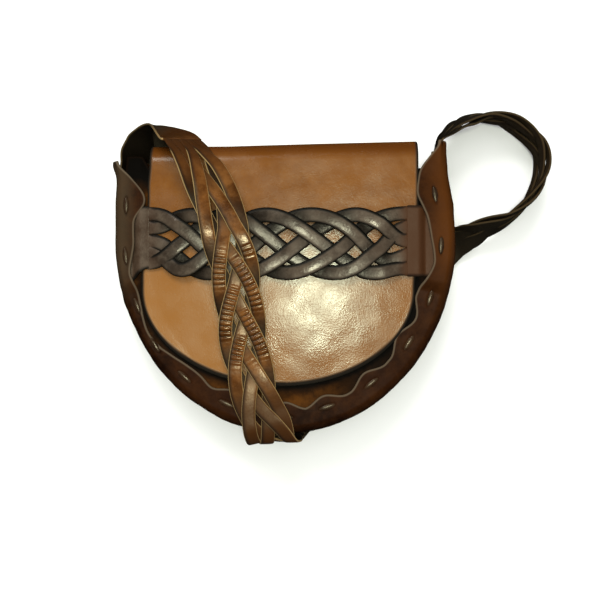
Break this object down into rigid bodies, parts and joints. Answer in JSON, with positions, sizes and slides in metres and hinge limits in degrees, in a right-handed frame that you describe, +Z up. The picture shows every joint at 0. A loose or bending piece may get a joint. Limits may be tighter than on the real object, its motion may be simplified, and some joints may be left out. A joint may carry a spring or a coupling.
{
  "type": "shoulder bag",
  "caption": "D-shaped leather shoulder bag with a long flap held under a braided band, a laced gusset and a braided strap, lying on its back.",
  "frame": {"origin": "on the floor under the middle of the whole object's bounding box", "axes": "+Z up from the floor the bag lies on, its front facing up; +Y towards the bag's mouth and fold; +X to the right as its front is seen, the side the strap's free loop lies on"},
  "size_m": [0.3384, 0.2608, 0.0784],
  "materials": {
    "tan_leather": "waxed tan leather with a fine grain, rubbed darker along its fold and cut edges",
    "chestnut_leather": "waxed chestnut leather",
    "cordovan_leather": "glossy dark red-brown leather with lighter rubbed edges",
    "dark_leather": "semi-gloss near-black brown leather with black edges",
    "golden_leather": "glossy golden-brown leather, darker in its creases"
  },
  "bodies": {
    "root": {"back_and_flap": "tan_leather", "front_panel": "chestnut_leather", "gusset": "cordovan_leather", "front_band": "dark_leather", "shoulder_strap": "golden_leather"}
  },
  "joints": []
}
